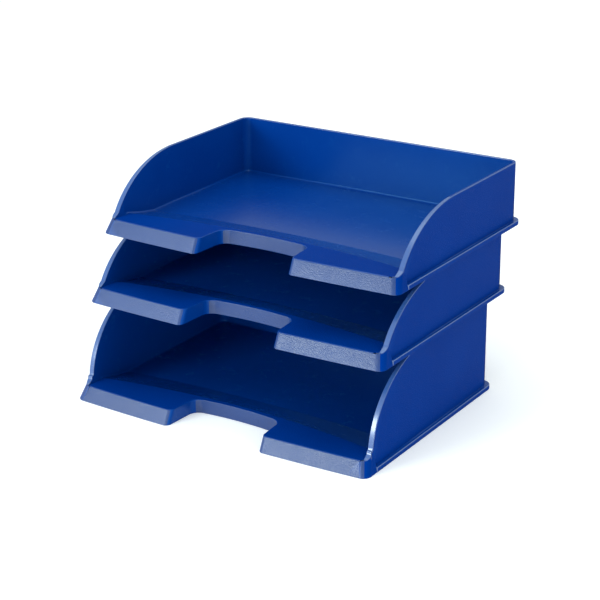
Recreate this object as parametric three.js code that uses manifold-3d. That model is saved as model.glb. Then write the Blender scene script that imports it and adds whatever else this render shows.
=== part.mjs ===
// A stack of three letter trays for A4 paper laid sideways, in millimetres, +Z up, front facing -Y.
// Each tray is one moulding: a floor with walls at the back and both sides, a skirt round its foot,
// and a low hollow lip along the open front with a finger notch in its middle.
// The bottom tray is the tall kind. The two above it are the standard kind, each set one step further back.
import * as THREE from 'three';
import { mergeVertices } from 'three/addons/utils/BufferGeometryUtils.js';
import Module from 'manifold-3d';

const wasm = await Module();
wasm.setup();

// Outer sizes
const WIDTH = 363;
const DEPTH = 273;
const STANDARD_HEIGHT = 70;
const TALL_HEIGHT = 103.5;

// Stacking: the rim below reaches a little way up inside the skirt above
const STEP_BACK = 28;
const RIM_TUCK = 0.8;
const REST_GAP = 0.3;

// Walls, floor and skirt
const SHELF = 4.3;
const SHELF_TOP = 5.4;
const WALL = 2.8;
const WALL_AT_FRONT = 5.6;
const TAPER_START = -10;
const TAPER_END = -105;
const SKIRT = 2;
const FLOOR_TOP = 5.4;
const FLOOR = 2;
const BACK_CORNER = 12;
const WALL_CORNER = 10.8;
const RAIL_WIDTH = 7;
const RAIL_FRONT = -70;

// Front lip
const LIP_HEIGHT = 15.3;
const LIP_LEAN = 7.6;
const LIP_BOW = 5.2;
const FRONT_CORNER = 9;
const LIP_END_BACK = -108.5;
const LIP_END_RADIUS = 2.6;

// Ramp from the floor up to the top of the lip: where each band starts at mid width, how far it has
// swung forward at the walls, and its height
const RAMP = [
  { middle: -42, swing: 11, height: FLOOR_TOP },
  { middle: -64, swing: 15, height: 10 },
  { middle: -81, swing: 20, height: LIP_HEIGHT },
];

// Finger notch
const NOTCH_HALF_WIDTH = 56;
const NOTCH_BACK = -86;
const NOTCH_SAG = 2.5;
const NOTCH_INNER_RADIUS = 12;
const NOTCH_OUTER_RADIUS = 7;
const NOTCH_TAPER = 1.5;
const NOTCH_ARC = 80;

// Sweep of the side walls, a quarter ellipse down to the top of a small stepped foot on the lip.
// The foot is listed as [y, z] points from the end of the sweep forwards.
const SWEEPS = {
  standard: {
    start: -12,
    run: 113,
    drop: 86.5,
    footTop: 19.8,
    foot: [[-118.8, 17.4], [-121.2, 16], [-124.5, LIP_HEIGHT]],
  },
  tall: {
    start: -15,
    run: 99,
    drop: 90.5,
    footTop: 23.6,
    foot: [[-115.6, 22.6], [-116, 19.6], [-119, 17.2], [-121.2, 16], [-124.5, LIP_HEIGHT]],
  },
};

// Fineness of curves, in segments
const ARC_SEGMENTS = 5;
const LIP_SEGMENTS = 16;
const SWEEP_SEGMENTS = 18;

const HALF_WIDTH = WIDTH / 2;
const HALF_DEPTH = DEPTH / 2;
const FAR = 300;
const EXTRA = 5;

/** Turns a closed three.js geometry into a solid that can be cut and joined. */
function toSolid(geometry) {
  geometry.deleteAttribute('normal');
  geometry.deleteAttribute('uv');
  const merged = mergeVertices(geometry, 1e-5);
  return new wasm.Manifold(new wasm.Mesh({
    numProp: 3,
    vertProperties: new Float32Array(merged.attributes.position.array),
    triVerts: new Uint32Array(merged.index.array),
  }));
}

/** Turns a solid back into a three.js geometry. */
function toGeometry(solid) {
  const mesh = solid.getMesh();
  const geometry = new THREE.BufferGeometry();
  geometry.setAttribute('position', new THREE.BufferAttribute(mesh.vertProperties, 3));
  geometry.setIndex(new THREE.BufferAttribute(mesh.triVerts, 1));
  geometry.computeVertexNormals();
  return geometry;
}

/** Points of an arc round (x, y), its angles in degrees. */
function arc(x, y, radius, from, to, segments = ARC_SEGMENTS) {
  const points = [];
  for (let i = 0; i <= segments; i += 1) {
    const angle = THREE.MathUtils.degToRad(THREE.MathUtils.lerp(from, to, i / segments));
    points.push(new THREE.Vector2(x + radius * Math.cos(angle), y + radius * Math.sin(angle)));
  }
  return points;
}

/** Upright solid with a plan outline, from one height to another. */
function prism(outline, bottom, top) {
  const geometry = new THREE.ExtrudeGeometry(new THREE.Shape(outline), {
    depth: top - bottom,
    bevelEnabled: false,
  });
  geometry.translate(0, 0, bottom);
  return toSolid(geometry);
}

/** Solid between two heights whose outline changes with height, all outlines having as many points. */
function loft(outlineAt, bottom, top) {
  const rings = [bottom, top].map((height) => ({ height, outline: outlineAt(height) }));
  const count = rings[0].outline.length;
  const positions = [];
  for (const ring of rings) {
    for (const point of ring.outline) {
      positions.push(point.x, point.y, ring.height);
    }
  }
  const faces = [];
  for (let i = 0; i < count; i += 1) {
    const next = (i + 1) % count;
    faces.push(i, next, count + next, i, count + next, count + i);
  }
  for (const [a, b, c] of THREE.ShapeUtils.triangulateShape(rings[0].outline, [])) {
    faces.push(a, c, b);
  }
  for (const [a, b, c] of THREE.ShapeUtils.triangulateShape(rings[1].outline, [])) {
    faces.push(count + a, count + b, count + c);
  }
  const geometry = new THREE.BufferGeometry();
  geometry.setAttribute('position', new THREE.Float32BufferAttribute(positions, 3));
  geometry.setIndex(faces);
  return toSolid(geometry);
}

/** How far back the bowed front of the lip stands at a place across the tray and a height. */
function lipFront(x, height) {
  const bow = LIP_BOW * (x / HALF_WIDTH) ** 2;
  return -HALF_DEPTH + bow + LIP_LEAN * (height / LIP_HEIGHT);
}

/** Plan outline of the bowed front edge with both its corners, drawn in by one inset in front and one at the sides. */
function frontEdge(height, inset, sideInset = inset) {
  const side = HALF_WIDTH - sideInset;
  const radius = FRONT_CORNER - inset;
  const corner = side - radius;
  const cornerFront = lipFront(corner, height) + inset;
  const points = arc(-corner, cornerFront + radius, radius, 180, 270);
  for (let i = 1; i < LIP_SEGMENTS; i += 1) {
    const x = THREE.MathUtils.lerp(-corner, corner, i / LIP_SEGMENTS);
    points.push(new THREE.Vector2(x, lipFront(x, height) + inset));
  }
  points.push(...arc(corner, cornerFront + radius, radius, 270, 360));
  return points;
}

/** How far the ends of the lip lean in from the skirt at a height. */
function endLean(height) {
  return SHELF * (height / LIP_HEIGHT);
}

/** Plan outline of the tray's foot: bowed front, straight sides and rounded back corners. */
function footprint(height, inset = 0) {
  const side = HALF_WIDTH - inset;
  const back = HALF_DEPTH - inset;
  const radius = BACK_CORNER - inset;
  return [
    ...frontEdge(height, inset, inset + endLean(height)),
    new THREE.Vector2(side, LIP_END_BACK),
    ...arc(side - radius, back - radius, radius, 0, 90),
    ...arc(radius - side, back - radius, radius, 90, 180),
    new THREE.Vector2(-side, LIP_END_BACK),
  ];
}

/** Plan outline of the lip, whose ends lean in from the skirt to the walls. */
function lipOutline(height) {
  const lean = endLean(height);
  const side = HALF_WIDTH - lean - LIP_END_RADIUS;
  const back = LIP_END_BACK - LIP_END_RADIUS;
  return [
    ...frontEdge(height, 0, lean),
    ...arc(side, back, LIP_END_RADIUS, 0, 90),
    ...arc(-side, back, LIP_END_RADIUS, 90, 180),
  ];
}

/** Plan outline of the outside of the walls, whose front corners stand on the corners of the lip. */
function wallOutline() {
  const side = HALF_WIDTH - SHELF - WALL_CORNER;
  const back = HALF_DEPTH - SHELF - WALL_CORNER;
  return [
    ...frontEdge(LIP_HEIGHT, 0, SHELF),
    ...arc(side, back, WALL_CORNER, 0, 90),
    ...arc(-side, back, WALL_CORNER, 90, 180),
  ];
}

/** Plan outline of the room between the walls, which thicken towards the front. It runs on far in front. */
function roomOutline() {
  const side = HALF_WIDTH - SHELF - WALL;
  const back = HALF_DEPTH - SHELF - WALL;
  const sideAtFront = HALF_WIDTH - SHELF - WALL_AT_FRONT;
  const radius = WALL_CORNER - WALL;
  return [
    new THREE.Vector2(-sideAtFront, -FAR),
    new THREE.Vector2(sideAtFront, -FAR),
    new THREE.Vector2(sideAtFront, TAPER_END),
    new THREE.Vector2(side, TAPER_START),
    ...arc(side - radius, back - radius, radius, 0, 90),
    ...arc(radius - side, back - radius, radius, 90, 180),
    new THREE.Vector2(-side, TAPER_START),
    new THREE.Vector2(-sideAtFront, TAPER_END),
  ];
}

/** Plan outline of the finger notch, grown all round by a margin. */
function notchOutline(height, margin = 0) {
  const radius = NOTCH_OUTER_RADIUS - margin;
  const mouth = NOTCH_HALF_WIDTH + NOTCH_OUTER_RADIUS;
  const mouthFront = lipFront(mouth, height) + margin;
  const innerRadius = NOTCH_INNER_RADIUS + margin;
  const innerSide = NOTCH_HALF_WIDTH - NOTCH_TAPER - NOTCH_INNER_RADIUS;
  const innerBack = NOTCH_BACK - NOTCH_SAG - NOTCH_INNER_RADIUS;
  const right = [
    new THREE.Vector2(mouth, -FAR),
    ...arc(mouth, mouthFront + radius, radius, 270, 180),
    ...arc(innerSide, innerBack, innerRadius, 0, NOTCH_ARC),
    new THREE.Vector2(innerSide / 2, NOTCH_BACK - NOTCH_SAG / 4 + margin),
  ];
  const middle = new THREE.Vector2(0, NOTCH_BACK + margin);
  const left = right.map((point) => new THREE.Vector2(-point.x, point.y)).reverse();
  return [...right, middle, ...left];
}

/** Solid between the tray's inner surface, shifted by an offset, and a level cap above or below it. */
function surfaceSolid(offset, cap) {
  const columns = LIP_SEGMENTS;
  const rows = RAMP.length + 2;
  const surface = [];
  for (let i = 0; i <= columns; i += 1) {
    const x = THREE.MathUtils.lerp(-HALF_WIDTH, HALF_WIDTH, i / columns);
    const swung = (x / HALF_WIDTH) ** 2;
    surface.push([x, FAR, FLOOR_TOP + offset]);
    for (const line of RAMP) {
      surface.push([x, line.middle - line.swing * swung, line.height + offset]);
    }
    surface.push([x, -FAR, LIP_HEIGHT + offset]);
  }
  const capped = surface.map(([x, y]) => [x, y, cap]);
  const corner = (layer, i, j) => layer * surface.length + i * rows + j;
  const faces = [];
  const quad = (a, b, c, d) => faces.push(a, b, c, a, c, d);
  for (let i = 0; i < columns; i += 1) {
    for (let j = 0; j < rows - 1; j += 1) {
      quad(corner(0, i, j), corner(0, i + 1, j), corner(0, i + 1, j + 1), corner(0, i, j + 1));
      quad(corner(1, i, j), corner(1, i, j + 1), corner(1, i + 1, j + 1), corner(1, i + 1, j));
    }
    quad(corner(0, i, 0), corner(1, i, 0), corner(1, i + 1, 0), corner(0, i + 1, 0));
    quad(corner(0, i + 1, rows - 1), corner(1, i + 1, rows - 1), corner(1, i, rows - 1), corner(0, i, rows - 1));
  }
  for (let j = 0; j < rows - 1; j += 1) {
    quad(corner(0, 0, j + 1), corner(1, 0, j + 1), corner(1, 0, j), corner(0, 0, j));
    quad(corner(0, columns, j), corner(1, columns, j), corner(1, columns, j + 1), corner(0, columns, j + 1));
  }
  const upwards = cap > LIP_HEIGHT;
  if (!upwards) {
    faces.reverse();
  }
  const geometry = new THREE.BufferGeometry();
  geometry.setAttribute('position', new THREE.Float32BufferAttribute([...surface, ...capped].flat(), 3));
  geometry.setIndex(faces);
  return toSolid(geometry);
}

/** Side view of the walls, extruded across the tray: level top, sweep, foot and front. */
function sideProfile(height, sweep) {
  const points = [
    new THREE.Vector2(HALF_DEPTH, -EXTRA),
    new THREE.Vector2(HALF_DEPTH, height),
  ];
  const lastAngle = Math.acos(1 - (height - sweep.footTop) / sweep.drop);
  for (let i = 0; i <= SWEEP_SEGMENTS; i += 1) {
    const angle = lastAngle * (i / SWEEP_SEGMENTS);
    points.push(new THREE.Vector2(
      sweep.start - sweep.run * Math.sin(angle),
      height - sweep.drop * (1 - Math.cos(angle)),
    ));
  }
  for (const [y, z] of sweep.foot) {
    points.push(new THREE.Vector2(y, z));
  }
  points.push(new THREE.Vector2(sweep.foot.at(-1)[0], -EXTRA));
  const geometry = new THREE.ExtrudeGeometry(new THREE.Shape(points), { depth: WIDTH, bevelEnabled: false });
  geometry.rotateX(Math.PI / 2);
  geometry.rotateZ(Math.PI / 2);
  geometry.translate(-HALF_WIDTH, 0, 0);
  return toSolid(geometry);
}

/** Outside of the tray before it is hollowed. */
function outerBody(height, sweep) {
  const walls = prism(wallOutline(), 0, height).intersect(sideProfile(height, sweep));
  return walls.add(loft(footprint, 0, SHELF_TOP)).add(loft(lipOutline, 0, LIP_HEIGHT));
}

/** Room above the floor and the lip, between the walls. */
function innerSpace(height) {
  return prism(roomOutline(), -EXTRA, height + EXTRA)
    .intersect(surfaceSolid(0, height + EXTRA));
}

/** Hollow underneath: shallow behind the skirt, and rising inside the ramp and the lip. */
function undersideHollow() {
  const shallow = loft((height) => footprint(height, SKIRT), -EXTRA, FLOOR_TOP - FLOOR);
  const rising = loft((height) => footprint(height, SKIRT), -EXTRA, LIP_HEIGHT)
    .intersect(prism(roomOutline(), -EXTRA, LIP_HEIGHT))
    .intersect(surfaceSolid(-FLOOR, -EXTRA));
  return shallow.add(rising).subtract(loft((height) => notchOutline(height, SKIRT), -EXTRA, LIP_HEIGHT));
}

/** The two rails under the floor that rest on the rims of the tray below. */
function rails() {
  const outer = HALF_WIDTH - SKIRT / 2;
  const inner = outer - RAIL_WIDTH;
  const back = HALF_DEPTH - BACK_CORNER;
  const outline = [
    new THREE.Vector2(inner, RAIL_FRONT),
    new THREE.Vector2(outer, RAIL_FRONT),
    new THREE.Vector2(outer, back),
    new THREE.Vector2(inner, back),
  ];
  const mirrored = outline.map((point) => new THREE.Vector2(-point.x, point.y));
  const bottom = RIM_TUCK + REST_GAP;
  const top = FLOOR_TOP - FLOOR / 2;
  return prism(outline, bottom, top).add(prism(mirrored, bottom, top));
}

/** One whole tray, standing on Z = 0 and centred on its foot. */
function trayGeometry(height, sweep) {
  const tray = outerBody(height, sweep)
    .subtract(innerSpace(height))
    .subtract(undersideHollow())
    .subtract(loft(notchOutline, -EXTRA, LIP_HEIGHT + EXTRA))
    .add(rails());
  return toGeometry(tray);
}

/** One named tray with its own plastic. */
function makeTray(name, height, sweep, steps, base) {
  const plastic = new THREE.MeshStandardMaterial({ color: 0x05338c, roughness: 0.38, metalness: 0 });
  const tray = new THREE.Mesh(trayGeometry(height, sweep), plastic);
  tray.name = name;
  tray.position.set(0, steps * STEP_BACK, base);
  return tray;
}

const middleBase = TALL_HEIGHT - RIM_TUCK;
const topBase = middleBase + STANDARD_HEIGHT - RIM_TUCK;

const stack = new THREE.Group();
stack.add(makeTray('bottom_tray', TALL_HEIGHT, SWEEPS.tall, 0, 0));
stack.add(makeTray('middle_tray', STANDARD_HEIGHT, SWEEPS.standard, 1, middleBase));
stack.add(makeTray('top_tray', STANDARD_HEIGHT, SWEEPS.standard, 2, topBase));

// The origin is under the middle of the whole stack
const middle = new THREE.Box3().setFromObject(stack).getCenter(new THREE.Vector3());
stack.position.set(0, -middle.y, 0);

export default stack;
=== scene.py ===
"""A stack of three letter trays in deep blue plastic, on a white studio floor.

Every tray is one moulding, modelled with Blender's own operators and rounded along its edges:
a floor with walls at the back and sides, a skirt with a narrow shelf, and a hollow front lip with a
finger notch. Lengths are in metres, the front faces -Y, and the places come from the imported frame.
"""

import logging
import math
from dataclasses import dataclass, field
from enum import Enum
from typing import Callable, Sequence

import bmesh
import bpy
from mathutils import Matrix, Vector


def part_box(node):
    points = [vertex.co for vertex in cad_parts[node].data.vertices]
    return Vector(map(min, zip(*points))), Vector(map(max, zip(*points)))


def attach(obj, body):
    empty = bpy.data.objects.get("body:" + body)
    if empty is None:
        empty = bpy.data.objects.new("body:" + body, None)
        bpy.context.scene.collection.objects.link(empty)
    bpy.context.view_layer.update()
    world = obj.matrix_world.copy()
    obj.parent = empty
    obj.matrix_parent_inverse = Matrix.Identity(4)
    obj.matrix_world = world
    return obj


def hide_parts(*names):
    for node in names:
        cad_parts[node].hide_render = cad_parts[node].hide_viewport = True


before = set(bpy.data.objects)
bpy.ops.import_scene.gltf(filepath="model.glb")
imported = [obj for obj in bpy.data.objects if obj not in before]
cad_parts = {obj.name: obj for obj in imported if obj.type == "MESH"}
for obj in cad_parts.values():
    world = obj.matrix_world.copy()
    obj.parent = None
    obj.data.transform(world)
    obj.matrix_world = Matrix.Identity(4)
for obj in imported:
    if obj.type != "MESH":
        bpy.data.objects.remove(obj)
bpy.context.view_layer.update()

logging.basicConfig(level=logging.INFO, format="%(message)s")
log = logging.getLogger("letter_trays")

MM = 0.001

# How far apart two places may be and still count as one, and the same for exact corners
TOUCH = 0.1 * MM
EXACT = 0.01 * MM
# Edges shorter than this are merged before the rounding
SHORTEST_EDGE = 0.16 * MM
# Degrees between the points of an arc, and facets along the sweep of a side wall
ARC_STEP = 6
SWEEP_FACETS = 44
# How strongly large faces lead the shading of a rounded edge
SHADING_WEIGHT = 80


class Cut(Enum):
    """What a boolean modifier does with the second piece."""

    JOIN = "UNION"
    CARVE = "DIFFERENCE"
    KEEP = "INTERSECT"


class Surface(Enum):
    """The mould surfaces of a tray, in the order of its material slots. EDGE is no mould surface: its
    lighter colour on rims and roundings is wear plus a painted highlight.
    """

    GRAINED = 0
    POLISHED = 1
    LIP = 2
    EDGE = 3


# ---------------------------------------------------------------- shader tools


class Value:
    """A number socket of a shader node that takes part in Python expressions."""

    def __init__(self, graph: "Graph", socket: bpy.types.NodeSocket) -> None:
        """Keeps the graph and the socket.

        Args:
            graph: The graph that the socket belongs to.
            socket: The output socket that holds the number.
        """
        self.graph = graph
        self.socket = socket

    def _math(self, operation: str, first: object, second: object) -> "Value":
        """Adds one Math node.

        Args:
            operation: Name of the operation.
            first: First number or value.
            second: Second number or value.

        Returns:
            The result as a value.
        """
        return self.graph.node("ShaderNodeMath", {"operation": operation}, {0: first, 1: second}).out()

    def __add__(self, other: object) -> "Value":
        """Adds."""
        return self._math("ADD", self, other)

    def __radd__(self, other: object) -> "Value":
        """Adds, reflected."""
        return self._math("ADD", other, self)

    def __sub__(self, other: object) -> "Value":
        """Subtracts."""
        return self._math("SUBTRACT", self, other)

    def __rsub__(self, other: object) -> "Value":
        """Subtracts, reflected."""
        return self._math("SUBTRACT", other, self)

    def __mul__(self, other: object) -> "Value":
        """Multiplies."""
        return self._math("MULTIPLY", self, other)

    def __rmul__(self, other: object) -> "Value":
        """Multiplies, reflected."""
        return self._math("MULTIPLY", other, self)


class Placed:
    """A node that stands in a graph."""

    def __init__(self, graph: "Graph", node: bpy.types.Node) -> None:
        """Keeps the graph and the node.

        Args:
            graph: The graph that the node belongs to.
            node: The node itself.
        """
        self.graph = graph
        self.node = node

    def out(self, socket: int | str = 0) -> Value:
        """Returns an output socket as a value."""
        return Value(self.graph, self.node.outputs[socket])


class Graph:
    """The node graph of one material."""

    def __init__(self, name: str) -> None:
        """Starts an empty material.

        Args:
            name: Name of the material.
        """
        self.material = bpy.data.materials.new(name)
        self.material.use_nodes = True
        self.tree = self.material.node_tree
        self.tree.nodes.clear()

    def node(self, kind: str, settings: dict[str, object], sockets: dict[int | str, object]) -> Placed:
        """Adds a node.

        Args:
            kind: Type of the node.
            settings: Its settings, set before its sockets; "stops" fills a colour ramp.
            sockets: Numbers, colours, vectors or values for its input sockets.

        Returns:
            The node in its graph.
        """
        node = self.tree.nodes.new(kind)
        for key, setting in settings.items():
            if key == "stops":
                self._fill_ramp(node, setting)
            else:
                setattr(node, key, setting)
        for key, given in sockets.items():
            if isinstance(given, Value):
                self.tree.links.new(given.socket, node.inputs[key])
            else:
                node.inputs[key].default_value = given
        return Placed(self, node)

    @staticmethod
    def _fill_ramp(node: bpy.types.Node, stops: Sequence[tuple[float, float]]) -> None:
        """Gives a colour ramp its grey stops.

        Args:
            node: The colour ramp node.
            stops: Position and grey level of each stop, from left to right.
        """
        elements = node.color_ramp.elements
        while len(elements) < len(stops):
            elements.new(1.0)
        for element, (position, level) in zip(elements, stops):
            element.position = position
            element.color = (level, level, level, 1.0)


@dataclass(frozen=True)
class BluePlastic:
    """Injection-moulded polystyrene in deep blue, as grained or as polished as its mould surface."""

    name: str
    colour: tuple[float, float, float]
    paler: tuple[float, float, float]
    roughness: float
    grain_strength: float
    specular: float
    # Colour towards which convex edges turn: wear, and in the edge finish also a painted highlight
    wear_and_highlight: tuple[float, float, float] = (0.010, 0.075, 0.350)
    roughness_swing: float = 0.06
    grain_size: float = 0.8 * MM
    grain_depth: float = 0.10 * MM
    sheen_tint: tuple[float, float, float] = (1.0, 1.0, 1.0)
    flow_scale: float = 14.0
    smudge_scale: float = 55.0

    def material(self) -> bpy.types.Material:
        """Builds the node material.

        Returns:
            The finished material.
        """
        graph = Graph(self.name)
        place = graph.node("ShaderNodeTexCoord", {}, {}).out("Object")
        grain = graph.node(
            "ShaderNodeTexNoise",
            {},
            {"Vector": place, "Scale": 1 / self.grain_size, "Detail": 2.0, "Roughness": 0.6},
        ).out("Fac")
        flow = graph.node(
            "ShaderNodeTexNoise", {}, {"Vector": place, "Scale": self.flow_scale, "Detail": 3.0}
        ).out("Fac")
        smudge = graph.node(
            "ShaderNodeTexNoise",
            {},
            {"Vector": place, "Scale": self.smudge_scale, "Detail": 4.0, "Roughness": 0.55},
        ).out("Fac")
        edge = graph.node("ShaderNodeNewGeometry", {}, {}).out("Pointiness")
        # Mask of the convex edges: it lightens them as wear, and in the edge finish as a painted highlight
        edge_wear_and_highlight = graph.node(
            "ShaderNodeValToRGB", {"stops": [(0.52, 0.0), (0.62, 1.0)]}, {"Fac": edge}
        ).out("Color")
        drift = graph.node(
            "ShaderNodeValToRGB", {"stops": [(0.3, 0.0), (0.7, 1.0)]}, {"Fac": flow}
        ).out("Color")
        body = graph.node(
            "ShaderNodeMix",
            {"data_type": "RGBA"},
            {0: drift * 0.7 + grain * 0.3, 6: (*self.colour, 1.0), 7: (*self.paler, 1.0)},
        ).out(2)
        dressed = graph.node(
            "ShaderNodeMix",
            {"data_type": "RGBA"},
            {0: edge_wear_and_highlight * (0.25 + smudge * 0.5), 6: body, 7: (*self.wear_and_highlight, 1.0)},
        ).out(2)
        rough = self.roughness + (smudge - 0.5) * self.roughness_swing + (grain - 0.5) * self.roughness_swing
        relief = graph.node(
            "ShaderNodeBump",
            {},
            {"Strength": self.grain_strength, "Distance": self.grain_depth, "Height": grain + flow * 0.5},
        ).out("Normal")
        shader = graph.node(
            "ShaderNodeBsdfPrincipled",
            {},
            {
                "Base Color": dressed,
                "Roughness": rough,
                "Normal": relief,
                "IOR": 1.5,
                "Specular IOR Level": self.specular,
                "Specular Tint": (*self.sheen_tint, 1.0),
            },
        ).out("BSDF")
        graph.node("ShaderNodeOutputMaterial", {}, {"Surface": shader})
        return graph.material


# ---------------------------------------------------------------- modelling tools


def select_only(obj: bpy.types.Object) -> None:
    """Deselects everything, then selects and activates one object."""
    bpy.ops.object.select_all(action="DESELECT")
    obj.select_set(True)
    bpy.context.view_layer.objects.active = obj


class Workpiece:
    """A mesh that is shaped with Blender's operators. Its object stays at the origin."""

    def __init__(self, obj: bpy.types.Object) -> None:
        """Takes over a mesh object.

        Args:
            obj: The mesh object to shape.
        """
        self.obj = obj

    @classmethod
    def traced(cls, name: str, outline: Sequence[Vector], steps: Sequence[Vector]) -> "Workpiece":
        """Draws an outline by extruding one vertex round it, fills it, and extrudes the face.

        Args:
            name: Name of the new object.
            outline: Corners of the outline in order.
            steps: How far each extrusion of the face goes, one after another.

        Returns:
            The closed piece.
        """
        bpy.ops.object.select_all(action="DESELECT")
        bpy.ops.mesh.primitive_plane_add(size=MM, location=outline[0])
        obj = bpy.context.active_object
        obj.name = name
        bpy.ops.object.transform_apply(location=True, rotation=True, scale=True)
        bpy.ops.object.mode_set(mode="EDIT")
        bpy.ops.mesh.select_mode(type="VERT")
        bpy.ops.mesh.select_all(action="SELECT")
        bpy.ops.mesh.merge(type="CENTER")
        for here, there in zip(outline, outline[1:]):
            bpy.ops.mesh.extrude_vertices_move(TRANSFORM_OT_translate={"value": there - here})
        bpy.ops.mesh.select_all(action="SELECT")
        bpy.ops.mesh.edge_face_add()
        for step in steps:
            bpy.ops.mesh.extrude_region_move(TRANSFORM_OT_translate={"value": step})
        bpy.ops.mesh.select_all(action="SELECT")
        bpy.ops.mesh.normals_make_consistent(inside=False)
        bpy.ops.object.mode_set(mode="OBJECT")
        return cls(obj)

    def shift(self, chosen: Callable[[Vector], bool], value: Vector) -> "Workpiece":
        """Moves the vertices at chosen places.

        Args:
            chosen: Says for a vertex's place whether it moves.
            value: How far they move.

        Returns:
            The piece itself.
        """
        select_only(self.obj)
        bpy.ops.object.mode_set(mode="EDIT")
        bpy.ops.mesh.select_mode(type="VERT")
        bpy.ops.mesh.select_all(action="DESELECT")
        mesh = bmesh.from_edit_mesh(self.obj.data)
        for vertex in mesh.verts:
            vertex.select_set(chosen(vertex.co))
        bmesh.update_edit_mesh(self.obj.data)
        bpy.ops.transform.translate(value=value)
        bpy.ops.object.mode_set(mode="OBJECT")
        return self

    def combine(self, other: "Workpiece", cut: Cut) -> "Workpiece":
        """Joins another piece to this one, carves it out, or keeps what both share.

        Args:
            other: The second piece, which is used up.
            cut: What to do with it.

        Returns:
            The piece itself.
        """
        modifier = self.obj.modifiers.new(cut.name, "BOOLEAN")
        modifier.operation = cut.value
        modifier.solver = "MANIFOLD"
        modifier.object = other.obj
        select_only(self.obj)
        bpy.ops.object.modifier_apply(modifier=modifier.name)
        bpy.data.objects.remove(other.obj)
        return self

    def clean(self) -> "Workpiece":
        """Merges vertices that nearly touch and deletes loose edges."""
        select_only(self.obj)
        bpy.ops.object.mode_set(mode="EDIT")
        bpy.ops.mesh.select_all(action="SELECT")
        bpy.ops.mesh.remove_doubles(threshold=SHORTEST_EDGE)
        bpy.ops.mesh.dissolve_degenerate(threshold=SHORTEST_EDGE)
        bpy.ops.mesh.delete_loose()
        bpy.ops.object.mode_set(mode="OBJECT")
        return self

    def weigh_edges(
        self, weight: Callable[[bmesh.types.BMEdge], float], levels: Sequence[float]
    ) -> "Workpiece":
        """Gives creased edges the bevel weight that their place asks for.

        Args:
            weight: Says for an edge which of the levels it gets, or 0.
            levels: The bevel weights in use.

        Returns:
            The piece itself.
        """
        select_only(self.obj)
        bpy.ops.object.mode_set(mode="EDIT")
        bpy.ops.mesh.select_mode(type="EDGE")
        for level in levels:
            bpy.ops.mesh.select_all(action="DESELECT")
            mesh = bmesh.from_edit_mesh(self.obj.data)
            for edge in mesh.edges:
                edge.select_set(weight(edge) == level)
            bmesh.update_edit_mesh(self.obj.data)
            bpy.ops.transform.edge_bevelweight(value=level)
        bpy.ops.object.mode_set(mode="OBJECT")
        return self

    def round_edges(self, width: float, segments: int) -> "Workpiece":
        """Rounds the weighted edges and evens out the shading.

        Args:
            width: Width of the rounding at a bevel weight of 1.
            segments: Facets across a rounding.

        Returns:
            The piece itself.
        """
        select_only(self.obj)
        bevel = self.obj.modifiers.new("rounding", "BEVEL")
        bevel.limit_method = "WEIGHT"
        bevel.width = width
        bevel.segments = segments
        bevel.use_clamp_overlap = False
        bevel.loop_slide = False
        bpy.ops.object.modifier_apply(modifier=bevel.name)
        bpy.ops.object.shade_smooth()
        even = self.obj.modifiers.new("even", "WEIGHTED_NORMAL")
        even.mode = "FACE_AREA"
        even.weight = SHADING_WEIGHT
        bpy.ops.object.modifier_apply(modifier=even.name)
        return self

    def copy(self, name: str) -> "Workpiece":
        """Copies the piece with a mesh of its own."""
        obj = self.obj.copy()
        obj.data = self.obj.data.copy()
        obj.name = name
        bpy.context.scene.collection.objects.link(obj)
        return Workpiece(obj)


def arc(x: float, y: float, radius: float, start: float, end: float) -> list[tuple[float, float]]:
    """Points of an arc in plan, about six degrees apart.

    Args:
        x: Centre of the arc.
        y: Centre of the arc.
        radius: Radius of the arc.
        start: First angle in degrees.
        end: Last angle in degrees.

    Returns:
        The points in order.
    """
    count = max(2, round(abs(end - start) / ARC_STEP))
    angles = [math.radians(start + (end - start) * i / count) for i in range(count + 1)]
    return [(x + radius * math.cos(a), y + radius * math.sin(a)) for a in angles]


def level(points: Sequence[tuple[float, float]], height: float) -> list[Vector]:
    """Plan points as corners at one height."""
    return [Vector((x, y, height)) for x, y in points]


# ---------------------------------------------------------------- the trays


@dataclass(frozen=True)
class Sweep:
    """The quarter ellipse that a side wall falls along, and the stepped foot below it."""

    start: float
    run: float
    drop: float
    foot_top: float
    foot: tuple[tuple[float, float], ...]

    def line(self, height: float) -> list[tuple[float, float]]:
        """Points of the sweep and the foot in side view.

        Args:
            height: Height of the level rim.

        Returns:
            Pairs of Y and Z from the rim down to the lip.
        """
        last = math.acos(1 - (height - self.foot_top) / self.drop)
        points = []
        for i in range(SWEEP_FACETS + 1):
            angle = last * i / SWEEP_FACETS
            forward = self.start - self.run * math.sin(angle)
            points.append((forward, height - self.drop * (1 - math.cos(angle))))
        return points + list(self.foot)


STANDARD_SWEEP = Sweep(
    start=-12 * MM,
    run=113 * MM,
    drop=86.5 * MM,
    foot_top=19.8 * MM,
    foot=((-118.8 * MM, 17.4 * MM), (-121.2 * MM, 16 * MM), (-124.5 * MM, 15.0 * MM)),
)
TALL_SWEEP = Sweep(
    start=-15 * MM,
    run=99 * MM,
    drop=90.5 * MM,
    foot_top=23.6 * MM,
    foot=(
        (-115.6 * MM, 22.6 * MM),
        (-116.0 * MM, 19.6 * MM),
        (-119.0 * MM, 17.2 * MM),
        (-121.2 * MM, 16.0 * MM),
        (-124.5 * MM, 15.0 * MM),
    ),
)


@dataclass(frozen=True)
class RampLine:
    """One crease of the ramp behind the lip."""

    middle: float
    swing: float
    height: float


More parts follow.
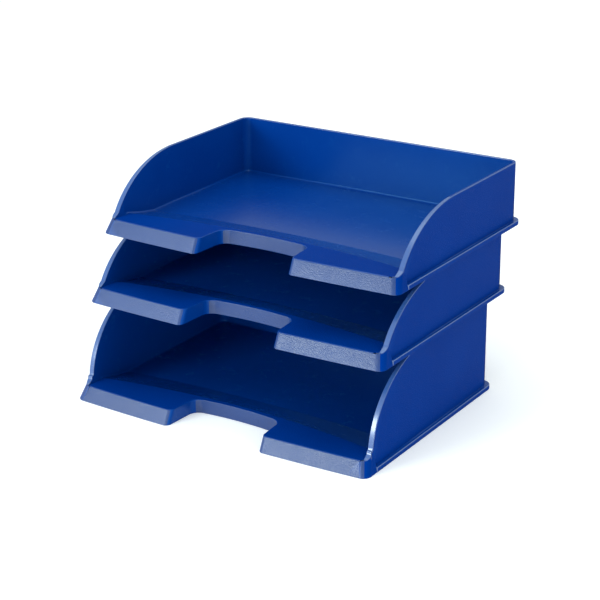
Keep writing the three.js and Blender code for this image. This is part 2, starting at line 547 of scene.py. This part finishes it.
@dataclass
class TrayMould:
    """The moulding that a tray comes out of. It makes one tray standing on Z = 0, centred on its foot."""

    height: float
    sweep: Sweep
    width: float = 363 * MM
    depth: float = 273 * MM
    shelf: float = 4.3 * MM
    shelf_top: float = 5.4 * MM
    wall: float = 2.8 * MM
    wall_at_front: float = 5.6 * MM
    taper_start: float = -10 * MM
    taper_end: float = -105 * MM
    skirt: float = 2 * MM
    floor: float = 2 * MM
    back_corner: float = 12 * MM
    wall_corner: float = 10.8 * MM
    rail_width: float = 7 * MM
    rail_front: float = -70 * MM
    rail_bottom: float = 1.1 * MM
    lip_height: float = 15.3 * MM
    lip_lean: float = 7.6 * MM
    lip_bow: float = 5.2 * MM
    front_corner: float = 9 * MM
    lip_end_back: float = -108.5 * MM
    lip_end_radius: float = 2.6 * MM
    lip_end_clear: float = 4 * MM
    notch_half: float = 56 * MM
    notch_back: float = -86 * MM
    notch_sag: float = 2.5 * MM
    notch_inner: float = 12 * MM
    notch_outer: float = 7 * MM
    notch_taper: float = 1.5 * MM
    notch_bite: float = 0.24 * MM
    notch_turn: int = 80
    ramp: tuple[RampLine, ...] = (
        RampLine(-42 * MM, 11 * MM, 5.4 * MM),
        RampLine(-64 * MM, 15 * MM, 10 * MM),
        RampLine(-81 * MM, 20 * MM, 15.3 * MM),
    )
    far: float = 200 * MM
    extra: float = 5 * MM
    columns: int = 24
    fillet: float = 2.0 * MM
    fillet_facets: int = 3
    edge_weight: float = 0.35
    crease_weight: float = 0.34
    corner_angle: float = 20
    crease_angle: float = 9
    ceiling_lean: float = 0.5
    upright_share: float = 0.7
    wall_tolerance: float = 0.6 * MM

    def lip_front(self, x: float) -> float:
        """Where the foot of the bowed front stands at a place across the tray."""
        return -self.depth / 2 + self.lip_bow * (2 * x / self.width) ** 2

    def front_line(
        self, inset: float = 0.0, side_inset: float = 0.0, shift: float = 0.0
    ) -> list[tuple[float, float]]:
        """Plan points of the bowed front edge with both its corners.

        Args:
            inset: How far the front is drawn in.
            side_inset: How far the ends are drawn in.
            shift: How far the whole line stands back.

        Returns:
            The points from left to right.
        """
        radius = self.front_corner - inset
        corner = self.width / 2 - side_inset - radius
        corner_front = self.lip_front(corner) + inset + shift
        points = arc(-corner, corner_front + radius, radius, 180, 270)
        for i in range(1, self.columns):
            x = -corner + 2 * corner * i / self.columns
            points.append((x, self.lip_front(x) + inset + shift))
        return points + arc(corner, corner_front + radius, radius, 270, 360)

    def lip(self) -> Workpiece:
        """Builds the lip across the front, which leans back and whose ends lean in.

        Returns:
            The lip as a solid block.
        """
        side = self.width / 2 - self.lip_end_radius
        back = self.lip_end_back - self.lip_end_radius
        outline = self.front_line()
        outline += arc(side, back, self.lip_end_radius, 0, 90)
        outline += arc(-side, back, self.lip_end_radius, 90, 180)
        piece = Workpiece.traced("lip", level(outline, 0.0), [Vector((0, 0, self.lip_height))])
        half = self.lip_height / 2
        ends = self.width / 2 - self.front_corner - TOUCH
        limit = self.lip_end_back - self.lip_end_clear
        piece.shift(lambda p: p.z > half and p.y < limit, Vector((0, self.lip_lean, 0)))
        piece.shift(lambda p: p.z > half and p.x > ends, Vector((-self.shelf, 0, 0)))
        return piece.shift(lambda p: p.z > half and p.x < -ends, Vector((self.shelf, 0, 0)))

    def foot(self, inset: float, bottom: float, top: float) -> Workpiece:
        """Builds the slab that makes the skirt and the shelf, behind the lip.

        Args:
            inset: How far its outline is drawn in.
            bottom: Height of its underside.
            top: Height of its top.

        Returns:
            The slab.
        """
        side = self.width / 2 - inset
        back = self.depth / 2 - inset
        radius = self.back_corner - inset
        front = self.lip_end_back - self.lip_end_radius
        outline = [(-side, front), (side, front)]
        outline += arc(side - radius, back - radius, radius, 0, 90)
        outline += arc(radius - side, back - radius, radius, 90, 180)
        return Workpiece.traced("foot", level(outline, bottom), [Vector((0, 0, top - bottom))])

    def walls(self) -> Workpiece:
        """Builds the block of the walls and cuts its sides along the sweep.

        Returns:
            The solid block inside the outer faces of the walls.
        """
        side = self.width / 2 - self.shelf - self.wall_corner
        back = self.depth / 2 - self.shelf - self.wall_corner
        outline = self.front_line(side_inset=self.shelf, shift=self.lip_lean)
        outline += arc(side, back, self.wall_corner, 0, 90)
        outline += arc(-side, back, self.wall_corner, 90, 180)
        low = self.shelf_top / 2
        block = Workpiece.traced("walls", level(outline, low), [Vector((0, 0, self.height - low))])
        over = self.height + self.extra
        profile = [(self.depth, 0.0), (self.depth, over), (self.sweep.start, over)]
        profile += self.sweep.line(self.height)
        profile.append((profile[-1][0], 0.0))
        reach = self.width
        side_view = Workpiece.traced(
            "side_view", [Vector((-reach / 2, y, z)) for y, z in profile], [Vector((reach, 0, 0))]
        )
        return block.combine(side_view, Cut.KEEP)

    def ramp_space(self, lines: Sequence[RampLine], offset: float, cap: float) -> Workpiece:
        """Builds the space between a surface of floor and ramp, and a level cap.

        Args:
            lines: Creases of the ramp, from the back to the front.
            offset: How far the surface is shifted up.
            cap: Height of the cap, above or below the surface.

        Returns:
            The space as a solid.
        """
        half = self.width / 2 + self.extra
        profile = [(self.far, cap), (self.far, lines[0].height + offset)]
        profile += [(line.middle, line.height + offset) for line in lines]
        profile += [(-self.far, lines[-1].height + offset), (-self.far, cap)]
        step = Vector((2 * half / self.columns, 0, 0))
        piece = Workpiece.traced("ramp", [Vector((-half, y, z)) for y, z in profile], [step] * self.columns)
        for i in range(self.columns // 2):
            x = half * (1 - 2 * i / self.columns)
            swung = (2 * x / self.width) ** 2
            for line in lines:
                piece.shift(
                    lambda p, x=x, line=line: abs(abs(p.x) - x) < TOUCH
                    and abs(p.y - line.middle) < EXACT
                    and abs(p.z - line.height - offset) < EXACT,
                    Vector((0, -line.swing * swung, 0)),
                )
        return piece

    def room_line(self) -> list[tuple[float, float]]:
        """Plan points of the room between the walls, which thicken towards the front."""
        side = self.width / 2 - self.shelf - self.wall
        front_side = self.width / 2 - self.shelf - self.wall_at_front
        back = self.depth / 2 - self.shelf - self.wall
        radius = self.wall_corner - self.wall
        points = [(-front_side, -self.far), (front_side, -self.far), (front_side, self.taper_end)]
        points.append((side, self.taper_start))
        points += arc(side - radius, back - radius, radius, 0, 90)
        points += arc(radius - side, back - radius, radius, 90, 180)
        return points + [(-side, self.taper_start), (-front_side, self.taper_end)]

    def room(self) -> Workpiece:
        """Builds the space above floor and ramp, between the walls."""
        rise = Vector((0, 0, self.height + self.extra))
        piece = Workpiece.traced("room", level(self.room_line(), 0.0), [rise])
        return piece.combine(self.ramp_space(self.ramp, 0.0, self.height + 2 * self.extra), Cut.KEEP)

    def notch(self, margin: float = 0.0) -> Workpiece:
        """Builds the finger notch, grown all round by a margin.

        Args:
            margin: How far the outline is grown.

        Returns:
            The notch as a solid.
        """
        radius = self.notch_outer - margin
        mouth = self.notch_half + self.notch_outer
        low = -self.extra
        high = self.lip_height + self.extra
        slope = self.lip_lean / self.lip_height
        front = self.lip_front(mouth) + margin + slope * low - self.notch_bite
        inner = self.notch_inner + margin
        side = self.notch_half - self.notch_taper - self.notch_inner
        back = self.notch_back - self.notch_sag - self.notch_inner
        right = [(mouth, -self.far)]
        right += arc(mouth, front + radius, radius, 270, 180)
        right += arc(side, back, inner, 0, self.notch_turn)
        right += [
            (side * t, self.notch_back + margin - self.notch_sag * t * t)
            for t in (0.75, 0.5, 0.25)
        ]
        left = [(-x, y) for x, y in reversed(right)]
        outline = right + [(0.0, self.notch_back + margin)] + left
        piece = Workpiece.traced("notch", level(outline, low), [Vector((0, 0, high - low))])
        reach = front + radius + MM
        return piece.shift(lambda p: p.z > 0 and p.y < reach, Vector((0, slope * (high - low), 0)))

    def hollows(self) -> list[Workpiece]:
        """Builds the hollow under the floor, and the one that rises inside ramp and lip.

        Returns:
            The two solids to carve out.
        """
        under = self.foot(self.skirt, -self.extra, self.shelf_top - self.floor)
        under.combine(self.notch(self.skirt), Cut.CARVE)
        front_side = self.width / 2 - self.shelf - self.wall_at_front
        side = self.width / 2 - self.shelf - self.wall
        back = self.depth / 2 - self.back_corner
        line = self.front_line(self.skirt, self.width / 2 - front_side)
        outline = line + [(front_side, self.taper_end), (side, self.taper_start), (side, back)]
        outline += [(-side, back), (-side, self.taper_start), (-front_side, self.taper_end)]
        rise = Vector((0, 0, self.lip_height + self.extra))
        rising = Workpiece.traced("rising", level(outline, -self.extra), [rise])
        slope = self.lip_lean / self.lip_height
        limit = self.lip_end_back - self.extra
        rising.shift(lambda p: p.y < limit and p.z > 0, Vector((0, slope * self.lip_height, 0)))
        first, second = self.ramp[:2]
        run_on = 60 * MM
        fall = run_on * (second.height - first.height) / (first.middle - second.middle)
        start = RampLine(first.middle + run_on, first.swing, first.height - fall)
        rising.combine(self.ramp_space((start, *self.ramp[1:]), -self.floor, -3 * self.extra), Cut.KEEP)
        rising.combine(self.notch(self.skirt), Cut.CARVE)
        return [under, rising]

    def rail(self, right: bool) -> Workpiece:
        """Builds one of the two rails that rest on the rims of the tray below.

        Args:
            right: Whether it is the right one.

        Returns:
            The rail.
        """
        outer = self.width / 2 - self.skirt / 2
        inner = outer - self.rail_width
        ends = (self.rail_front, self.depth / 2 - 2 * self.back_corner)
        outline = [(inner, ends[0]), (outer, ends[0]), (outer, ends[1]), (inner, ends[1])]
        if not right:
            outline = [(-x, y) for x, y in outline]
        top = self.shelf_top - self.floor / 2
        rise = Vector((0, 0, top - self.rail_bottom))
        return Workpiece.traced("rail", level(outline, self.rail_bottom), [rise])

    def is_outside(self, place: Vector) -> bool:
        """Says whether a place lies on or beyond the outer faces of the walls."""
        side = self.width / 2 - self.shelf - self.wall_tolerance
        back = self.depth / 2 - self.shelf - self.wall_tolerance
        across = abs(place.x) - side + self.wall_corner
        along = place.y - back + self.wall_corner
        past_corner = across > 0 and along > 0 and math.hypot(across, along) > self.wall_corner
        return abs(place.x) > side or place.y > back or past_corner

    def is_hidden(self, edge: bmesh.types.BMEdge, middle: Vector) -> bool:
        """Says whether an edge lies in the hollows underneath, where it stays sharp.

        Args:
            edge: The edge.
            middle: Its middle.

        Returns:
            Whether it is out of sight.
        """
        ceiling = middle.z > TOUCH and any(face.normal.z < -self.ceiling_lean for face in edge.link_faces)
        rise = abs(edge.verts[0].co.z - edge.verts[1].co.z)
        upright = rise > self.upright_share * edge.calc_length()
        below = middle.z < self.lip_height and abs(middle.x) < self.width / 2 - self.skirt / 2
        return ceiling or (upright and below)

    def edge_weight_at(self, edge: bmesh.types.BMEdge) -> float:
        """Bevel weight of an edge: full in the corners of the room, less on rims, edges and creases.

        Args:
            edge: The edge.

        Returns:
            One of the weights in use, or 0 for an edge inside a smooth surface.
        """
        if not edge.is_manifold:
            return 0.0
        angle = math.degrees(edge.calc_face_angle(0.0))
        middle = (edge.verts[0].co + edge.verts[1].co) / 2
        if self.is_hidden(edge, middle):
            return 0.0
        in_room = not self.is_outside(middle) and middle.z > self.shelf_top - TOUCH
        behind_lip = middle.y > self.lip_end_back
        if angle < self.corner_angle:
            is_level = abs(edge.verts[0].co.z - edge.verts[1].co.z) < MM
            on_ramp = angle > self.crease_angle and in_room and behind_lip and is_level
            return self.crease_weight if on_ramp else 0.0
        if edge.is_convex:
            return self.edge_weight
        return 1.0 if in_room and behind_lip else 0.0

    def tray(self, name: str) -> Workpiece:
        """Models one whole tray.

        Args:
            name: Name of the piece.

        Returns:
            The tray with rounded edges.
        """
        piece = self.walls()
        piece.obj.name = name
        piece.combine(self.foot(0.0, 0.0, self.shelf_top), Cut.JOIN)
        piece.combine(self.lip(), Cut.JOIN)
        piece.combine(self.room(), Cut.CARVE)
        for hollow in self.hollows():
            piece.combine(hollow, Cut.CARVE)
        piece.combine(self.notch(), Cut.CARVE)
        piece.combine(self.rail(True), Cut.JOIN)
        piece.combine(self.rail(False), Cut.JOIN)
        piece.clean()
        piece.weigh_edges(self.edge_weight_at, (self.crease_weight, self.edge_weight, 1.0))
        return piece.round_edges(self.fillet, self.fillet_facets)


@dataclass
class Tray:
    """One tray of the stack, which stands in for its CAD node."""

    node: str
    body: str
    piece: Workpiece
    mould: TrayMould
    rounding_facet: float = 0.42 * MM
    shelf_slack: float = 0.5 * MM
    lip_slack: float = 0.2 * MM
    flat: float = 0.99
    nearly_flat: float = 0.9
    lip_top: float = 0.975
    facing_front: float = 0.7
    rim_fall: float = 0.05
    rim_side: float = 0.1
    inward: float = 0.3

    def build(self) -> "Tray":
        """Puts the moulding where the CAD node stands."""
        low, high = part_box(self.node)
        place = Vector((0, high.y - self.mould.depth / 2, low.z))
        self.piece.shift(lambda p: True, place)
        self.piece.obj.name = self.node + "_moulding"
        return self

    def surface_at(self, place: Vector, normal: Vector, narrow: float) -> Surface:
        """Chooses the mould surface of a face, or the lighter edge finish that paints a highlight on rims
        and roundings.

        Args:
            place: Centre of the face, measured from the tray's foot.
            normal: Which way the face looks.
            narrow: How wide the face is across its longest side.

        Returns:
            The surface.
        """
        mould = self.mould
        above = place.z > mould.shelf_top - self.shelf_slack
        on_lip = place.y < 0 and 0 < place.z < mould.lip_height + self.lip_slack
        lip_edge = on_lip and place.z > mould.shelf_top + MM and normal.z < self.lip_top
        # Narrow rounding faces get the edge finish, a painted highlight with wear; the lip's top edges stay
        # without it
        if narrow < self.rounding_facet and place.z > mould.floor and not lip_edge:
            return Surface.EDGE
        over_wall = abs(place.x) > mould.width / 2 - mould.shelf - mould.wall_at_front
        # The falling front bands of the rims also get the edge finish as a painted highlight
        on_rim = over_wall and place.y < mould.taper_start and place.z > mould.lip_height
        if on_rim and abs(normal.x) < self.rim_side and normal.y < -self.rim_fall:
            return Surface.EDGE
        if above and normal.z > self.nearly_flat and mould.is_outside(place):
            return Surface.POLISHED
        if normal.y < -self.facing_front and on_lip:
            return Surface.LIP
        on_plateau = normal.z > self.flat and place.z > mould.lip_height - self.shelf_slack
        facing_in = normal.x * place.x < self.inward * abs(place.x) or normal.z > self.nearly_flat
        if above and facing_in and not on_plateau and not mould.is_outside(place):
            return Surface.POLISHED
        return Surface.GRAINED

    def dress(self, finishes: Sequence[bpy.types.Material]) -> None:
        """Gives each face the finish of its mould surface, attaches the tray to its body and hides its CAD
        node.

        Args:
            finishes: The materials in the order of the surfaces.
        """
        mesh = self.piece.obj.data
        mesh.materials.clear()
        for finish in finishes:
            mesh.materials.append(finish)
        low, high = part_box(self.node)
        foot = Vector((0, high.y - self.mould.depth / 2, low.z))
        for face in mesh.polygons:
            sides = [(mesh.vertices[a].co - mesh.vertices[b].co).length for a, b in face.edge_keys]
            narrow = face.area / max(sides)
            face.material_index = self.surface_at(face.center - foot, face.normal, narrow).value
        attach(self.piece.obj, self.body)
        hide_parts(self.node)
        log.info("%s rides on %s: %d faces", self.piece.obj.name, self.body, len(mesh.polygons))


# ---------------------------------------------------------------- the studio


@dataclass(frozen=True)
class SoftBox:
    """One large soft lamp, aimed at a place on the stack."""

    name: str
    place: tuple[float, float, float]
    aim: tuple[float, float, float]
    size: tuple[float, float]
    power: float
    colour: tuple[float, float, float] = (0.88, 1.0, 0.98)

    def build(self) -> None:
        """Adds the lamp."""
        data = bpy.data.lights.new(self.name, "AREA")
        data.shape = "RECTANGLE"
        data.size, data.size_y = self.size
        data.energy = self.power
        data.color = self.colour
        lamp = bpy.data.objects.new(self.name, data)
        lamp.location = self.place
        towards = Vector(self.aim) - Vector(self.place)
        lamp.rotation_euler = towards.to_track_quat("-Z", "Y").to_euler()
        bpy.context.scene.collection.objects.link(lamp)


@dataclass
class Studio:
    """White floor, soft lamps and the camera."""

    floor_size: float = 12.0
    floor_glow: float = 0.2
    paper_scale: float = 900.0
    ambient: float = 0.8
    ambient_colour: tuple[float, float, float] = (0.92, 1.0, 1.0)
    lamps: list[SoftBox] = field(default_factory=list)
    camera_place: tuple[float, float, float] = (0.938013, -1.435687, 0.748674)
    camera_right: tuple[float, float, float] = (0.83889, 0.54426, -0.00620)
    camera_up: tuple[float, float, float] = (-0.18798, 0.30041, 0.93510)
    camera_forward: tuple[float, float, float] = (-0.51080, 0.78329, -0.35432)
    lens: float = 102.57
    sensor: float = 36.0

    def build_floor(self) -> None:
        """Adds the white floor."""
        bpy.ops.object.select_all(action="DESELECT")
        bpy.ops.mesh.primitive_plane_add(size=self.floor_size, location=(0, 0, 0))
        floor = bpy.context.active_object
        floor.name = "studio_floor"
        graph = Graph("floor_paint")
        place = graph.node("ShaderNodeTexCoord", {}, {}).out("Object")
        paper = graph.node(
            "ShaderNodeTexNoise", {}, {"Vector": place, "Scale": self.paper_scale, "Detail": 2.0}
        ).out("Fac")
        relief = graph.node(
            "ShaderNodeBump", {}, {"Strength": 0.1, "Distance": 0.02 * MM, "Height": paper}
        ).out("Normal")
        shader = graph.node(
            "ShaderNodeBsdfPrincipled",
            {},
            {
                "Base Color": (0.94, 0.92, 0.92, 1.0),
                "Roughness": 0.9,
                "Specular IOR Level": 0.2,
                "Normal": relief,
                "Emission Color": (1.0, 1.0, 1.0, 1.0),
                "Emission Strength": self.floor_glow,
            },
        ).out("BSDF")
        graph.node("ShaderNodeOutputMaterial", {}, {"Surface": shader})
        floor.data.materials.append(graph.material)

    def build_world(self) -> None:
        """Surrounds the scene with soft white light."""
        world = bpy.data.worlds.new("white_room")
        world.use_nodes = True
        back = world.node_tree.nodes["Background"]
        back.inputs["Color"].default_value = (*self.ambient_colour, 1.0)
        back.inputs["Strength"].default_value = self.ambient
        bpy.context.scene.world = world

    def build_camera(self) -> None:
        """Adds the camera and makes it the scene's own."""
        data = bpy.data.cameras.new("camera")
        data.sensor_width = self.sensor
        data.lens = self.lens
        camera = bpy.data.objects.new("camera", data)
        right = Vector(self.camera_right)
        up = Vector(self.camera_up)
        turn = Matrix((right, up, -Vector(self.camera_forward))).transposed()
        camera.matrix_world = Matrix.Translation(self.camera_place) @ turn.to_4x4()
        bpy.context.scene.collection.objects.link(camera)
        bpy.context.scene.camera = camera

    def build(self) -> None:
        """Builds the whole studio."""
        self.build_floor()
        self.build_world()
        for lamp in self.lamps:
            lamp.build()
        self.build_camera()
        bpy.context.scene.view_settings.view_transform = "Standard"


def main() -> None:
    """Builds the trays and the studio in order and reports each piece."""
    finishes = [
        BluePlastic(
            "blue_plastic_grained",
            colour=(0.0, 0.027, 0.212),
            paler=(0.0, 0.033, 0.242),
            roughness=0.42,
            grain_size=1.3 * MM,
            grain_depth=0.40 * MM,
            grain_strength=1.0,
            specular=0.012,
            sheen_tint=(0.3, 0.8, 1.0),
        ).material(),
        BluePlastic(
            "blue_plastic_smooth",
            colour=(0.0, 0.033, 0.230),
            paler=(0.0, 0.040, 0.256),
            roughness=0.26,
            grain_strength=0.12,
            specular=0.25,
            sheen_tint=(0.3, 0.8, 1.0),
        ).material(),
        BluePlastic(
            "blue_plastic_lip",
            colour=(0.0, 0.026, 0.140),
            paler=(0.0, 0.032, 0.165),
            roughness=0.34,
            roughness_swing=0.22,
            grain_size=1.3 * MM,
            grain_depth=0.40 * MM,
            grain_strength=1.0,
            specular=0.68,
        ).material(),
        # The edge finish is paler than the body blue: wear plus a painted highlight on the rims and rounded
        # edges
        BluePlastic(
            "blue_plastic_edge_wear_and_highlight",
            colour=(0.022, 0.075, 0.265),
            paler=(0.035, 0.095, 0.300),
            wear_and_highlight=(0.090, 0.170, 0.400),
            roughness=0.26,
            grain_strength=0.1,
            specular=1.0,
        ).material(),
    ]
    standard = TrayMould(height=70 * MM, sweep=STANDARD_SWEEP)
    tall = TrayMould(height=103.5 * MM, sweep=TALL_SWEEP)
    standard_piece = standard.tray("standard_tray")
    second_piece = standard_piece.copy("second_tray")
    trays = [
        Tray("bottom_tray", "bottom_tray", tall.tray("tall_tray"), tall),
        Tray("middle_tray", "middle_tray", standard_piece, standard),
        Tray("top_tray", "top_tray", second_piece, standard),
    ]
    for tray in trays:
        tray.build().dress(finishes)
    Studio(
        lamps=[
            SoftBox("front_left_box", (-0.98, -2.2, 0.80), (0, -0.1, 0.05), (0.9, 0.7), 35.0),
            SoftBox("overhead_box", (0.1, 0.2, 2.4), (0, 0, 0.1), (2.4, 2.4), 26.0),
            SoftBox("low_front_box", (0.3, -2.7, 0.20), (0, 0, 0.06), (1.4, 0.35), 12.0),
            SoftBox("right_front_box", (1.9, -1.4, 0.35), (0.18, -0.1, 0.08), (0.8, 0.5), 6.0),
        ],
    ).build()
    log.info("sizes written")


if __name__ == "__main__":
    main()
